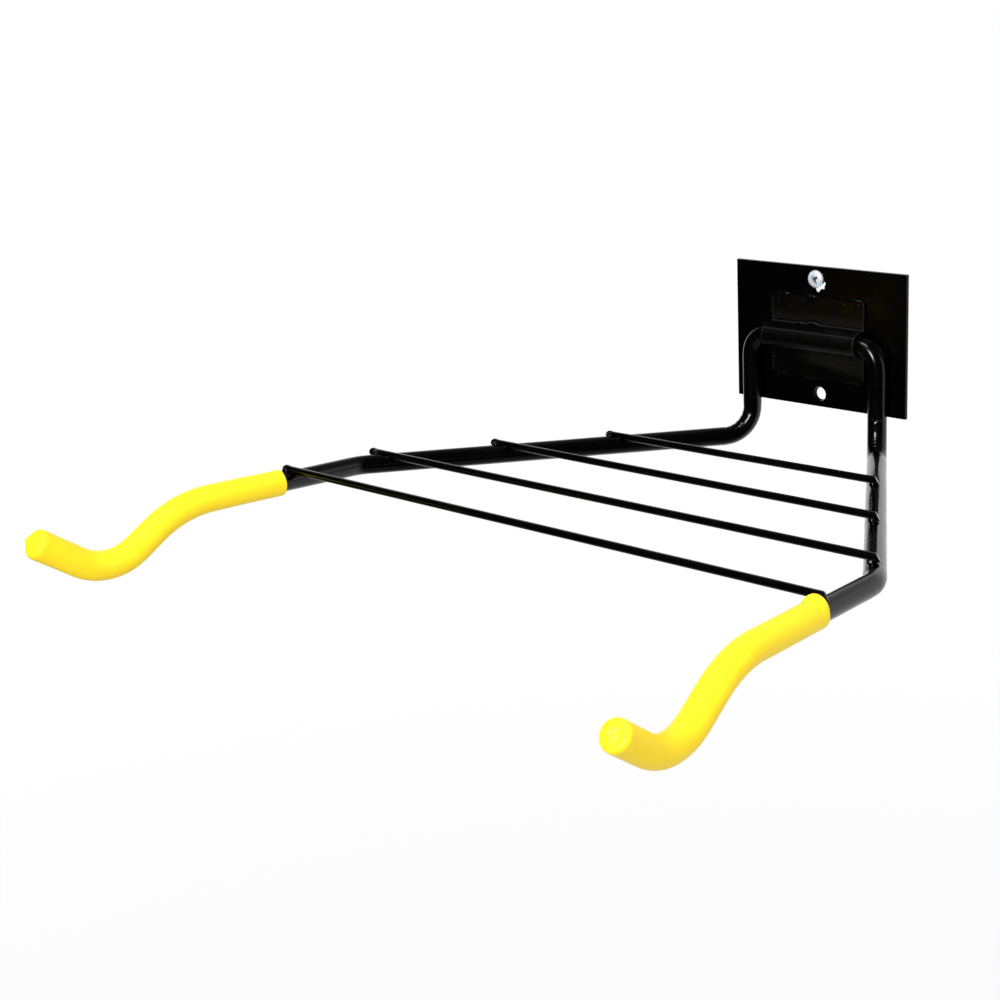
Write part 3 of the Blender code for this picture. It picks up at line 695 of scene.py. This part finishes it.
def weld_puddle(centre, axes, seed, ripple=0.02):
    """A weld's puddle: a sphere's grid on three half axes, swollen unevenly and rippled along the first."""
    polar, round_it = ring_grid(np.linspace(0, math.pi, WELD_RINGS), WELD_SIDES)
    size = 1 + 0.06 * np.sin(polar) * wobble(2.4 * np.cos(polar), round_it, seed, 2)
    size = size + ripple * np.sin(polar) * np.sin(9 * np.cos(polar) + seed)
    shape = np.stack([np.cos(polar), np.sin(polar) * np.cos(round_it), np.sin(polar) * np.sin(round_it)],
                     axis=-1)
    return centre + (shape * size[..., None]) @ np.array(axes)


def rod_cap(edge):
    """Radii and runs of a rod's end: a flat middle and a quarter circle of this radius."""
    turn = np.linspace(0, math.pi / 2, 9)
    flat = ROD_RADIUS - edge
    radii = np.concatenate(([0, 0.6 * flat], flat + edge * np.sin(turn)))
    return radii, np.concatenate(([0, 0], edge * (1 - np.cos(turn))))


def rod_piece(number, reach):
    """A cross rod: circles along X from a rounded left end to a slanted, sheared right one, and its four welds.

    A bell curve of the run makes the left end a little thicker.
    """
    foot = arm_point(reach)
    seat = foot[2] + TUBE_RADIUS + ROD_SEAT
    left, right = -foot[0] - ROD_LEFT_ENDS[number - 1], foot[0] + ROD_RIGHT_ENDS[number - 1]
    nose_radii, nose_runs = rod_cap(ROD_NOSE)
    cut_radii, cut_runs = rod_cap(ROD_EDGE)
    body = np.linspace(left + ROD_NOSE, right - ROD_EDGE, 126)[1:-1]
    runs, angles = ring_grid(np.concatenate((left + nose_runs, body, (right - cut_runs)[::-1])), ROD_SIDES)
    radii = np.concatenate((nose_radii, np.full(len(body), ROD_RADIUS), cut_radii[::-1]))[:, None]
    radii = radii + uneven(ROD_UNEVENNESS, runs, angles, number) * (radii > ROD_RADIUS - ROD_EDGE)
    radii = radii * (1 + ROD_BULB * bell(runs - left, ROD_BULB_PLACE, ROD_BULB_WIDTH))
    back, up = radii * np.cos(angles), radii * np.sin(angles)
    near_right = ease(runs, right - ROD_SLANT_START, right - ROD_SLANT_FULL)
    near_left = ease(-runs, -left - ROD_LEFT_SLANT_START, -left - ROD_SLANT_FULL)
    slant = (ROD_CUT_BACK * back + ROD_CUT_UP * up) * near_right - ROD_LEFT_CUT_BACK * back * near_left
    share = (runs - left) / (right - left)
    sink = ROD_LEFT_SINKS[number - 1] * (1 - share) + ROD_RIGHT_SINKS[number - 1] * share
    rod = np.stack([runs - slant, foot[1] + back, seat + ROD_RADIUS - sink + up], axis=-1)
    shells = [rod]
    for side in (-1, 1):
        along = unit(arm_point(reach + MM) - arm_point(reach)) * (side, 1, 1)
        across = unit(np.cross(along, [0, 0, 1.0]))
        above = np.cross(across, along)
        shift = LEFT_WELD_SHIFTS[number - 1] if side < 0 else RIGHT_WELD_SHIFT
        for way, size in WELD_SIZES:
            centre = np.array([side * foot[0] + shift, foot[1], seat]) + along * way * WELD_OFFSET
            axes = [axis * half * size for axis, half in zip((across, along, above), WELD_HALF_AXES)]
            shells.append(weld_puddle(centre, axes, 10 * number + 2 * side + way))
    name = f"cross_rod_{number}"
    make_piece(name + "_skin", shells, ROD_ENAMEL, "folding_frame", name)


def plate_half(place, height, front_radius, back_radius):
    """Half of the wall plate: closed rings of points round its hole, from the bore over the front and the rim.

    On both faces a ring's points lie between the hole's edge and the plate's edge, in the same share.
    """
    across = np.linspace(-1, 1, 60) * PLATE_HALF_WIDTH
    rise = np.linspace(0, 1, 22)[1:-1] * PLATE_HALF_HEIGHT
    full = np.full(len(rise), PLATE_HALF_WIDTH)
    edge = np.stack([np.concatenate((across, full, across[::-1], -full)),
                     np.concatenate((0 * across, rise, 0 * across + PLATE_HALF_HEIGHT, rise[::-1]))], axis=-1)
    half_sizes = np.array([PLATE_HALF_WIDTH, PLATE_HALF_HEIGHT])
    inset = -np.sign(edge) * (np.abs(edge) > half_sizes - 1e-9)
    hole = np.array([place, height])
    spoke = unit(edge - hole)
    spread = np.sin(np.linspace(0, math.pi / 2, 14)[1:]) ** 2
    turn = np.linspace(0, math.pi / 2, 6)
    bore_radii = [back_radius, front_radius, front_radius + BORE_BEVEL, front_radius + PLATE_RIM]
    bore_y = [0, PLATE_FRONT + PLATE_RIM, PLATE_FRONT + BORE_BEVEL, PLATE_FRONT]
    share = np.concatenate((np.zeros(4), spread, np.ones(11), spread[-2::-1], [0]))
    radius = np.concatenate((bore_radii, bore_radii[-1] + 0 * spread, np.full(11 + len(spread), back_radius)))
    drawn_in = PLATE_RIM * np.concatenate((np.ones(4 + len(spread)), 1 - np.sin(turn)[1:], 1 - np.cos(turn),
                                           np.ones(len(spread))))
    y = np.concatenate((bore_y, PLATE_FRONT + 0 * spread, PLATE_FRONT + PLATE_RIM * (1 - np.cos(turn)[1:]),
                        PLATE_RIM * (np.sin(turn) - 1), 0 * spread))
    share, radius, drawn_in = (values[:, None, None] for values in (share, radius, drawn_in))
    flat = (1 - share) * (hole + radius * spoke) + share * (edge + drawn_in * inset)
    return np.stack([flat[..., 0], np.tile(y[:, None], len(edge)), flat[..., 1]], axis=-1)


def plate_piece():
    """The wall plate: a half round each hole, which meet at half height."""
    halves = [plate_half(*hole) * (1, 1, side) for side, hole in zip((1, -1), HOLES)]
    make_piece("wall_plate_skin", halves, PLATE_ENAMEL, "wall_bracket", "wall_plate",
               crease=40, halved=True)


def strap_half(x, fold, sign):
    """Half of the strap's section at each x, from the flange's edge to the barrel's widest line.

    The flange runs down to a quarter-circle fold, then a straight leads to the barrel. The corners' arcs
    shorten the flange towards the ends. Returns y, z, the normal's y and z, and the share of the thickness,
    which falls off in a quarter circle at the edge.
    """
    over = np.clip(np.abs(x) - (STRAP_HALF_LENGTH - STRAP_CORNER), 0, STRAP_CORNER)
    top = STRAP_HALF_HEIGHT - STRAP_CORNER + np.sqrt(STRAP_CORNER ** 2 - over ** 2)
    turn = np.linspace(0, math.pi / 2, 6)
    rim_runs = np.concatenate(([0], STRAP_RIM * (1 - np.cos(turn))))
    rim_share = np.concatenate(([0], 1 - STRAP_RIM * (1 - np.sin(turn)) / (SHEET / 2)))
    fold_top = BARREL_RADIUS + fold
    flange_z = np.concatenate((top - rim_runs, top - STRAP_RIM + (fold_top - top + STRAP_RIM)
                               * np.linspace(0, 1, 28)[1:]), axis=1)
    angle = np.linspace(0, math.pi / 2, 16)[1:] + 0 * x
    straight = np.linspace(0, 1, 5)[1:-1] + 0 * x
    y = np.concatenate((SHEET_MIDDLE_Y + 0 * flange_z, SHEET_MIDDLE_Y - fold + fold * np.cos(angle),
                        (SHEET_MIDDLE_Y - fold) * (1 - straight) + AXIS_Y * straight), axis=1)
    z = np.concatenate((flange_z, fold_top - fold * np.sin(angle), BARREL_RADIUS + 0 * straight), axis=1)
    normal_y = np.concatenate((-1 + 0 * flange_z, -np.cos(angle), 0 * straight), axis=1)
    normal_z = np.concatenate((0 * flange_z, np.sin(angle), 1 + 0 * straight), axis=1)
    share = np.ones_like(y)
    share[:, :len(rim_share)] = rim_share
    return [y, sign * z, normal_y, sign * normal_z, share]


def stitch_bead(middle, half_length, sign, seed):
    """A stitch weld on the strap's edge: ellipses along X that swell from nothing, with stacked ripples."""
    x, angles = ring_grid(np.linspace(-1, 1, 90), 28)
    ripples = 0.10 * np.abs(np.sin(half_length * x / STITCH_RIPPLE + seed))
    size = np.sqrt(np.clip(1 - np.abs(x) ** 3, 0, 1)) * (1 + ripples + 0.12 * wobble(9 * x, angles, seed))
    height = STRAP_HALF_HEIGHT - STITCH_OVERLAP + STITCH_DRIFT * np.sin(2.3 * x + seed)
    return np.stack([middle + half_length * x, SHEET_MIDDLE_Y + STITCH_HALF_DEPTH * size * np.cos(angles),
                     sign * (height + STITCH_HALF_HEIGHT * size * np.sin(angles))], axis=-1)


def strap_sheen_map(x, y, z, fold):
    """How grey the strap's front is at each point of the sheet, with noughts for its back.

    It carries a painted highlight along its upper fold, high on its barrel and on its end edges, and painted
    sheen on the barrel's front under that line. It is greyer above the fold, and a painted reflection lies
    below the barrel on the right.
    """
    fold_height = BARREL_RADIUS + 0.25 * STRAP_FOLD + 0.75 * (fold - STRAP_FOLD)
    # painted highlight along the upper fold
    fold_highlight = STRAP_SHEEN_LEVELS["fold"] * bell(z, fold_height, 0.4 * MM) * (y > SHEET_MIDDLE_Y - 0.7 * fold)
    # greyer band above the fold, fading out upwards
    grey_above_fold = STRAP_SHEEN_LEVELS["above_fold"] * ease(-z, -19 * MM, -10.5 * MM) * (z > BARREL_RADIUS + fold)
    ridge = 0.66 * BARREL_RADIUS
    # painted highlight on the barrel's ridge, and painted sheen on the barrel below it
    barrel_sheen = STRAP_SHEEN_LEVELS["ridge"] * bell(z, ridge, 0.3 * MM) + STRAP_SHEEN_LEVELS["barrel"] * ease(z, 0, ridge) * (z < ridge)
    # painted highlights on the end edges
    edges = np.where(x < 0, STRAP_SHEEN_LEVELS["left_end"], STRAP_SHEEN_LEVELS["right_end"])
    edges = edges * ease(np.abs(x), STRAP_HALF_LENGTH - 0.7 * MM, STRAP_HALF_LENGTH - 0.3 * MM)
    rightward = np.clip((x + 15 * MM) / (50 * MM), 0, 1)
    # painted reflection on the lower flange, right of the middle
    reflection_below_barrel = STRAP_SHEEN_LEVELS["below_barrel"] * ease(x, -18 * MM, -2 * MM) * (z < -BARREL_RADIUS)
    reflection_below_barrel = reflection_below_barrel * (1 - ease(-z, (14 + 5 * rightward) * MM, (19 + 8 * rightward) * MM))
    painted_sheen = np.maximum.reduce([fold_highlight, grey_above_fold, barrel_sheen * (y < AXIS_Y), edges + 0 * z, reflection_below_barrel])
    return np.concatenate((painted_sheen, 0 * painted_sheen), axis=1)


def strap_piece():
    """The hinge strap: both faces of its section's line carried along X, its stitch welds and weld marks."""
    turn = np.linspace(0, math.pi / 2, 6)
    end_x = STRAP_HALF_LENGTH - STRAP_RIM * (1 - np.cos(turn))[::-1]
    end_share = (1 - STRAP_RIM * (1 - np.sin(turn)) / (SHEET / 2))[::-1]
    flat_x = np.linspace(0, STRAP_HALF_LENGTH - STRAP_RIM, 70)[:-1]
    half_x = np.concatenate((flat_x, end_x, [STRAP_HALF_LENGTH]))
    half_share = np.concatenate((np.ones(len(flat_x)), end_share, [0]))
    x = np.concatenate((-half_x[:0:-1], half_x))[:, None]
    end = np.concatenate((half_share[:0:-1], half_share))[:, None]
    fold = STRAP_FOLD + (DART_FOLD - STRAP_FOLD) * sum(share * swell(x, *ends) for *ends, share in DART_LOBES)
    upper = strap_half(x, fold, 1)
    lower = strap_half(x, STRAP_FOLD + 0 * x, -1)
    angle = np.linspace(math.pi / 2, 3 * math.pi / 2, 56) + 0 * x
    barrel = [AXIS_Y + BARREL_RADIUS * np.cos(angle), BARREL_RADIUS * np.sin(angle),
              np.cos(angle), np.sin(angle), 1 + 0 * angle]
    y, z, normal_y, normal_z, share = (np.concatenate((high, middle, low[:, ::-1]), axis=1)
                                       for high, middle, low in zip(upper, barrel, lower))
    half = SHEET / 2 * share * end
    dent = uneven(STRAP_UNEVENNESS, x, STRAP_WAVES * z, 5) * share * end
    front = [y + normal_y * (half + dent), z + normal_z * (half + dent)]
    back = [y - normal_y * half, z - normal_z * half]
    section = [np.concatenate((outer, inner[:, ::-1]), axis=1) for outer, inner in zip(front, back)]
    # painted highlights and reflections on the strap's front
    painted_sheen = strap_sheen_map(x, y, z, fold)
    shells = [np.stack([np.broadcast_to(x, section[0].shape), *section], axis=-1)]
    for sign in (1, -1):
        for middle, half_length in STITCHES:
            shells.append(stitch_bead(middle, half_length, sign, round(middle / MM) % 7 + sign))
    for seed, (place, size) in enumerate(WELD_MARKS, 40):
        shells.append(weld_puddle(np.array(place) * MM, np.diag(size) * MM, seed, ripple=0.08))
    make_piece("hinge_strap_skin", shells, STRAP_ENAMEL, "wall_bracket", "hinge_strap",
               crease=40, painted_sheen=painted_sheen)


def screw_head():
    """The pan head: a crown whose radius is a sine's power, a rim and an underside, with the cross recess.

    Each of the recess's two slots is deepest in the middle and slopes up to its ends, with steep sides.
    """
    even_shares = np.linspace(0, 0.955, 130)
    turn = np.concatenate((np.arcsin(even_shares ** (1 / HEAD_POWER)), np.linspace(1.22, math.radians(84), 8)))
    crown_radii = HEAD_RADIUS * np.sin(turn) ** HEAD_POWER
    crown_y = HEAD_SEAT - HEAD_HEIGHT + HEAD_CROWN * (1 - np.cos(turn))
    rim_shares, rim_heights = np.array(HEAD_RIM).T
    radius, angle = ring_grid(np.concatenate((crown_radii, HEAD_RADIUS * rim_shares)), HEAD_SIDES)
    y = np.tile(np.concatenate((crown_y, HEAD_SEAT - MM * rim_heights))[:, None], HEAD_SIDES)
    depth = 0
    for turned_by, half_length in zip((0, math.pi / 2), RECESS_LENGTHS):
        along = np.abs(radius * np.cos(angle + RECESS_TURN + turned_by))
        across = np.abs(radius * np.sin(angle + RECESS_TURN + turned_by))
        slot = np.clip(1 - (along / half_length) ** 3, 0, 1)
        depth = np.maximum(depth, slot * (1 - ease(across, RECESS_WIDTH - RECESS_SLOPE, RECESS_WIDTH)))
    depth[len(crown_radii):] = 0
    return np.stack([SCREW_X + radius * np.cos(angle), y + RECESS_DEPTH * depth,
                     SCREW_HEIGHT + radius * np.sin(angle)], axis=-1)


def screw_shank():
    """The threaded shank: its radius is a ridge wave of the run and the turn, and it narrows to a point."""
    run, angle = ring_grid(np.linspace(0, 1, 420), 64)
    length = SHANK_END - HEAD_SEAT
    phase = (run * length / THREAD_PITCH - angle / (2 * math.pi)) % 1
    ridge = np.clip(1 - np.abs(phase - 0.5) / THREAD_RIDGE, 0, 1)
    threaded = ease(run * length, *THREAD_START)
    radius = SHANK_RADIUS - THREAD_DEPTH * threaded * (1 - ridge)
    radius = radius * np.clip((1 - run) * length / SHANK_POINT, 0, 1) ** SHANK_POINT_POWER
    radius[0] = 0
    return np.stack([SCREW_X + radius * np.cos(angle), HEAD_SEAT + run * length,
                     SCREW_HEIGHT + radius * np.sin(angle)], axis=-1)


def plug_collar():
    """A torn bit of the wall plug's collar, under the screw's head: ellipses carried round an arc.

    Three bell curves of the turn push its outer edge out into lobes, and it thins to nothing at both ends.
    """
    share, section = ring_grid(np.linspace(-1, 1, 80), 24)
    turn = np.radians(COLLAR_MIDDLE + COLLAR_HALF_TURN * share)
    lobes = sum(height * bell(share, middle, width) for height, middle, width in COLLAR_LOBES)
    outer = COLLAR_RADIUS + MM * (lobes + 0.12 * wobble(12 * share, 0, 8))
    size = np.sqrt(np.clip(1 - share ** 4, 0, 1))
    middle, half = (outer + COLLAR_BORE) / 2, (outer - COLLAR_BORE) / 2 * size
    radius = middle + half * np.cos(section)
    y = PLATE_FRONT - COLLAR_HALF_SHEET * (1 + size * np.sin(section))
    return np.stack([radius * np.cos(turn), y, HOLE_HEIGHT + radius * np.sin(turn)], axis=-1)


def stand(name, data, right, back, place):
    """A camera or a lamp in its place: it looks away from its back vector."""
    holder = bpy.data.objects.new(name, data)
    bpy.context.scene.collection.objects.link(holder)
    matrix = np.eye(4)
    matrix[:3] = np.stack([right, np.cross(back, right), back, place], axis=1)
    holder.matrix_world = Matrix(matrix.tolist())
    return holder


def set_camera():
    camera = bpy.data.cameras.new("camera")
    camera.lens = CAMERA_LENS
    camera.sensor_width = CAMERA_SENSOR
    back = np.array([math.sin(CAMERA_AZIMUTH) * math.cos(CAMERA_ELEVATION),
                     -math.cos(CAMERA_AZIMUTH) * math.cos(CAMERA_ELEVATION), math.sin(CAMERA_ELEVATION)])
    level = np.array([math.cos(CAMERA_AZIMUTH), math.sin(CAMERA_AZIMUTH), 0])
    right = turned(level, back, CAMERA_ROLL)[0]
    bpy.context.scene.camera = stand("camera", camera, right, back, CAMERA_PLACE)


def add_lamp(name, place, width, height, energy):
    """A soft oblong lamp that looks at the rack's middle."""
    lamp = bpy.data.lights.new(name, "AREA")
    lamp.shape = "RECTANGLE"
    lamp.size = width
    lamp.size_y = height
    lamp.energy = energy
    back = unit(np.array(place) - np.array(LAMP_AIM))
    stand(name, lamp, unit(np.cross([0, 0.2, 1.0], back)), back, place)


class WorldNodes(Finish):
    """The world's nodes, made by the same method as a material's."""

    def __init__(self, world):
        world.use_nodes = True
        self.tree = world.node_tree
        self.shader = self.tree.nodes["Background"]


def set_world():
    """The studio: white all round to the camera, and a soft light on matt surfaces, stronger from the right.

    Gloss mirrors the white wall side, and the darker room and floor in front of the wall.
    """
    world = bpy.data.worlds.new("studio")
    bpy.context.scene.world = world
    studio = WorldNodes(world)
    direction = studio.node("ShaderNodeTexCoord", {}, (), "Generated")
    rightward, inward, height = (studio.node("ShaderNodeSeparateXYZ", {}, (direction,), axis) for axis in "XYZ")
    fill = studio.steps(rightward, *SIDE_FILL_TURN, LEFT_FILL, RIGHT_FILL)
    fill = fill + studio.steps(height, *TOP_FILL_TURN, 0.0, TOP_FILL)
    wall_side = studio.steps(inward, *WALL_TURN) * studio.steps(height, *CEILING_TURN, 1.0, CEILING)
    below = studio.steps(height, *GROUND_TURN, 0.0, GROUND)
    mirrored = studio.maths("MAXIMUM", studio.maths("MAXIMUM", wall_side, below), DARK_ROOM)
    glossy, camera, through = (studio.ray(kind) for kind in ("Glossy", "Camera", "Transmission"))
    strength = fill + glossy * (mirrored - fill)
    strength = strength + studio.maths("MAXIMUM", camera, through) * (1 - strength)
    studio.shader.inputs["Color"].default_value = (1, 1, 1, 1)
    studio.tree.links.new(strength.socket, studio.shader.inputs["Strength"])


def add_floor():
    """A plain pale floor well below the rack, which fades out at its rim into the white surroundings.

    To the camera most of its colour is plain white, and the rest is lit and keeps the shadow. Gloss looks
    through it at the world.
    """
    mesh = bpy.data.meshes.new("floor")
    corners = np.array([(-1, -1), (1, -1), (1, 1), (-1, 1)]) * FLOOR_HALF_SIZE
    mesh.from_pydata([(x, y, FLOOR_HEIGHT) for x, y in corners], [], [(0, 1, 2, 3)])
    floor = bpy.data.objects.new("floor", mesh)
    bpy.context.scene.collection.objects.link(floor)
    paint = Finish("floor_paint")
    paint.shader.inputs["Base Color"].default_value = (FLOOR_GREY, FLOOR_GREY, FLOOR_GREY, 1)
    rough = paint.steps(paint.noise(0.3, 4), 0.3, 0.7, 0.6, 0.8)
    paint.tree.links.new(rough.socket, paint.shader.inputs["Roughness"])
    glow = paint.node("ShaderNodeEmission", {}, ((1, 1, 1, 1), 1.0))
    own = Wire(paint, paint.shader.outputs[0])
    lit = paint.node("ShaderNodeMixShader", {}, (paint.ray("Camera") * FLOOR_WHITE_SHARE, own, glow))
    from_middle = paint.distance(paint.place, (0, 0, FLOOR_HEIGHT))
    gone = paint.node("ShaderNodeBsdfTransparent", {}, ())
    away = paint.maths("MAXIMUM", paint.steps(from_middle, *FLOOR_FADE), paint.ray("Glossy"))
    faded = paint.node("ShaderNodeMixShader", {}, (away, lit, gone))
    paint.tree.links.new(faded.socket, paint.tree.nodes["Material Output"].inputs["Surface"])
    mesh.materials.append(paint.material)


TUBE_ENAMEL = enamel("tube_skin_enamel", gloss=0.14, grain=0.03, specular=0.38)
ROD_ENAMEL = enamel("rod_skin_enamel", gloss=0.16, grain=0.04, specular=0.38)
# the strap's enamel carries painted highlights and reflections
STRAP_ENAMEL = enamel("strap_skin_enamel", gloss=0.20, grain=0.10, specular=0.28, dust=0.10, sheen_paint=True)
PLATE_ENAMEL = enamel("plate_skin_enamel", gloss=0.18, grain=0.05, specular=0.12)
VINYL = dipped_vinyl()
ZINC = bright_zinc()
PLUG_WHITE = chipped_plastic()

tube_piece(frame_route(TIP_STRAIGHTS[-1], TIP_STRAIGHTS[1]))
sleeve_piece(-1)
sleeve_piece(1)
for rod_number, rod_reach in enumerate(ROD_REACHES, 1):
    rod_piece(rod_number, rod_reach)
plate_piece()
strap_piece()
make_piece("mounting_screw_skin", [screw_head(), screw_shank()], ZINC, "wall_bracket", "mounting_screw",
           crease=40)
make_piece("plug_collar", [plug_collar()], PLUG_WHITE, "wall_bracket")

set_camera()
set_world()
add_floor()
for lamp_values in LAMPS:
    add_lamp(*lamp_values)

bpy.context.scene.view_settings.view_transform = "Standard"
